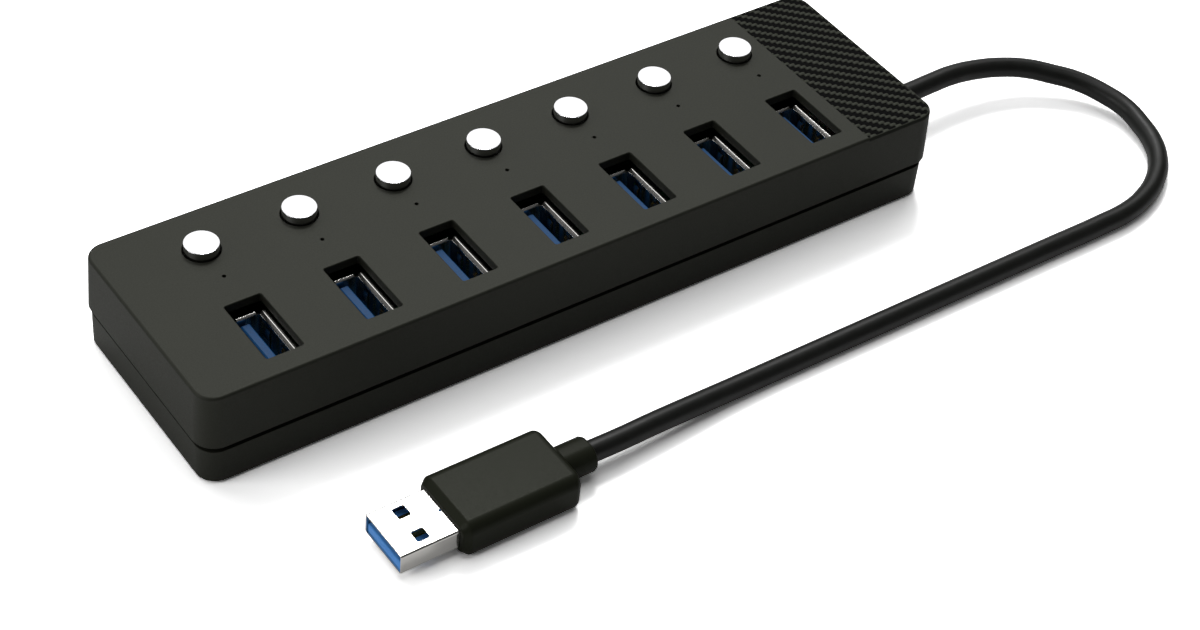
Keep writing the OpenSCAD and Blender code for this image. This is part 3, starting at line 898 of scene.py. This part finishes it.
def plug_windows(bm):
    """Latch windows, and the small relief notch where the shell meets the grip."""
    window, notch = rounded(LATCH_L, LATCH_W, 0.45), circle(NOTCH_R, 16)
    through = (-2 * SHEET, 2 * SHEET)
    for y in (-LATCH_Y, LATCH_Y):
        for face in (PLUG_Z - PLUG_H / 2, PLUG_Z + PLUG_H / 2):
            skin(bm, [level(window, face + d, LATCH_X, PLUG_Y + y) for d in through])
    skin(bm, [level(notch, PLUG_Z + PLUG_H / 2 + d, NOTCH_X, PLUG_Y) for d in through])


def plug_core(bm):
    """Tongue in the mouth with eased edges, then the block inside the grip."""
    low = PLUG_Z - PLUG_H / 2 + SHEET
    tongue = [(PLUG_X + 0.3, 10.7, 1.6), (PLUG_X + 0.5, 11.0, 1.9), (GRIP_X - 0.1, 11.0, 1.9)]
    loops = [station(rounded(w, h, 0.12, 6), x, PLUG_Y, low + 0.95) for x, w, h in tongue]
    block_w, block_h = PLUG_W - 2 * SHEET - 0.1, PLUG_H - 2 * SHEET - 0.05
    loops += plug_loops([(x, block_w, block_h, 0.24) for x in (GRIP_X - 0.1, GRIP_X + 4.9)])
    skin(bm, loops)


def grip(bm):
    """Socket for the shell, sloping nose, body with soft shoulders, then the neck."""
    nose = [(NOSE_X, 13.6, 5.7, 1.3), (NOSE_X + 0.08, 14.2, 6.1, 1.5),
            (NOSE_X + NOSE_L - 0.15, GRIP_W - 0.25, GRIP_H - 0.3, GRIP_R - 0.15),
            (NOSE_X + NOSE_L + 0.1, GRIP_W - 0.03, GRIP_H - 0.05, GRIP_R - 0.02),
            (NOSE_X + NOSE_L + 0.3, GRIP_W, GRIP_H, GRIP_R)]
    shoulders = []
    for k in range(7):
        a = math.radians(90 * k / 6)
        cut = SHOULDER * (1 - math.cos(a))
        shoulders.append((NECK_X - SHOULDER * (1 - math.sin(a)), GRIP_W - 2 * cut,
                          GRIP_H - 1.5 * cut, GRIP_R - cut * 0.5))
    neck = [(NECK_X, NECK_W + 0.5, NECK_H + 0.3, NECK_R), (NECK_X + 0.3, NECK_W, NECK_H, NECK_R),
            (GRIP_END - 0.7, NECK_W, NECK_H, NECK_R),
            (GRIP_END - 0.2, NECK_W - 0.5, NECK_H - 0.5, NECK_R - 0.25),
            (GRIP_END, NECK_W - 1.2, NECK_H - 1.2, NECK_R - 0.6)]
    socket = [(GRIP_X + 5, PLUG_W + 0.04, PLUG_H + 0.04, 0.47),
              (NOSE_X + 0.1, PLUG_W + 0.04, PLUG_H + 0.04, 0.47),
              (NOSE_X, PLUG_W + 0.3, PLUG_H + 0.3, 0.6)]
    skin(bm, plug_loops(socket + nose + shoulders + neck))


def overmoulded_pvc():
    """Moulded PVC of the grip: harder than the jacket, satin, a little greyer."""
    finish, tree, shader, place = new_finish(
        "overmoulded_pvc", "#1f2119", IOR=1.53, Specular_IOR_Level=0.07,
        Specular_Tint=linear("#fcfff0"))
    grain = add_node(tree, "TexNoise", {}, {
        "Vector": place, "Scale": 1 / (0.3 * MM), "Detail": 3.0}).outputs["Fac"]
    add_node(tree, "MapRange", {}, {"Value": grain, "To Min": 0.24, "To Max": 0.48},
             {"Result": shader["Roughness"]})
    add_node(tree, "Bump", {}, {"Height": grain, "Distance": 0.004 * MM},
             {"Normal": shader["Normal"]})
    return finish


tube_mesh = carve(make_mesh("plug_tube", plug_tube), make_mesh("plug_windows", plug_windows))
plug_case = add_piece("plug_case", tube_mesh, steel, ["plug_shell"])
even_normals(plug_case)
# The plug's insulator: the same blue PBT in a lighter copy, painted light on its open mouth.
plug_tongue = add_piece("plug_tongue", make_mesh("plug_core", plug_core),
                        blue_pbt("blue_pbt_painted_lit", "#3f86d8", "#64a8f0"),
                        ["plug_insert"])
plug_body = add_piece("plug_body", make_mesh("grip", grip), overmoulded_pvc(),
                      ["plug_grip"])
even_normals(plug_body)

# --- Table, lights and camera ------------------------------------------------------
# A white table top under a soft lamp from behind and above, a broad panel behind it
# that the bright metal mirrors, and dim fills at the left and overhead. The studio is
# dark, and its backdrop is white.
TABLE_SIZE, TABLE_T, TABLE_GAP = 4000, 20, 0.02
TABLE_BOUNCE = (0.85, 0.85, 0.85, 1)
TABLE_SEEN = (2.6, 2.6, 2.6, 1)


def white_laminate():
    """Matt white laminate, washed out to pure white where the camera looks straight at
    it, as a lit sweep is, while it lights the hub like a plain light grey one."""
    finish, tree, shader, place = new_finish("white_laminate", "#e0e0e0", IOR=1.5)
    mottle = add_node(tree, "TexNoise", {}, {
        "Vector": place, "Scale": 1 / (2 * MM), "Detail": 3.0}).outputs["Fac"]
    add_node(tree, "MapRange", {}, {"Value": mottle, "To Min": 0.6, "To Max": 0.82},
             {"Result": shader["Roughness"]})
    seen = add_node(tree, "LightPath").outputs["Is Camera Ray"]
    add_node(tree, "Mix", {"data_type": "RGBA"}, {
        "Factor_Float": seen, "A_Color": TABLE_BOUNCE, "B_Color": TABLE_SEEN},
        {"Result_Color": shader["Base Color"]})
    return finish


def table_top(bm):
    """A broad slab whose upper face is the surface that the hub stands on."""
    slab = rounded(TABLE_SIZE, TABLE_SIZE, 10, 3)
    skin(bm, [level(slab, -TABLE_T), level(slab, -TABLE_GAP)])


table = bpy.data.objects.new("table_top", make_mesh("table_top", table_top))
table.data.materials.append(white_laminate())
bpy.context.scene.collection.objects.link(table)


def soft_light(name, azimuth, elevation, distance, width, height, watts):
    """A rectangular soft light that faces the hub from a direction round it."""
    a, e = math.radians(azimuth), math.radians(elevation)
    away = Vector((math.sin(a) * math.cos(e), math.cos(a) * math.cos(e), math.sin(e)))
    data = bpy.data.lights.new(name, "AREA")
    data.shape, data.size, data.size_y, data.energy = "RECTANGLE", width, height, watts
    lamp = bpy.data.objects.new(name, data)
    lamp.location = away * distance
    lamp.rotation_euler = away.to_track_quat("Z", "Y").to_euler()
    bpy.context.scene.collection.objects.link(lamp)


soft_light("key_light", 34, 57, 1.6, 0.4, 0.35, 8)
soft_light("mirror_panel", 15, 45, 1.9, 3.4, 1.2, 17)
soft_light("side_fill", -82, 28, 1.5, 1, 0.8, 7)
soft_light("overhead_light", 0, 89, 1.5, 1, 1, 4)

DARK_STUDIO, WHITE_BACKDROP = 0.09, 0.93
world = bpy.data.worlds.new("surround")
world.use_nodes = True
world.node_tree.nodes["Background"].inputs["Color"].default_value = (1, 1, 1, 1)
backdrop = add_node(world.node_tree, "LightPath").outputs["Is Camera Ray"]
add_node(world.node_tree, "MapRange", {}, {
    "Value": backdrop, "To Min": DARK_STUDIO, "To Max": WHITE_BACKDROP},
    {"Result": world.node_tree.nodes["Background"].inputs["Strength"]})
bpy.context.scene.world = world
bpy.context.scene.view_settings.view_transform = "Standard"

CAMERA_AT = Vector((-229.44, -306.02, 335.94))
VIEW_AZIMUTH, VIEW_ELEVATION, VIEW_ROLL = -39.27, 42.38, 6.31
camera = bpy.data.objects.new("camera", bpy.data.cameras.new("camera"))
bpy.context.scene.collection.objects.link(camera)
camera.data.lens = 76.54
camera.data.sensor_width = 36
camera.data.clip_start = 0.01
camera.matrix_world = (
    Matrix.Translation(CAMERA_AT * MM)
    @ Matrix.Rotation(math.radians(VIEW_AZIMUTH), 4, "Z")
    @ Matrix.Rotation(math.radians(90 - VIEW_ELEVATION), 4, "X")
    @ Matrix.Rotation(math.radians(VIEW_ROLL), 4, "Z"))
bpy.context.scene.camera = camera
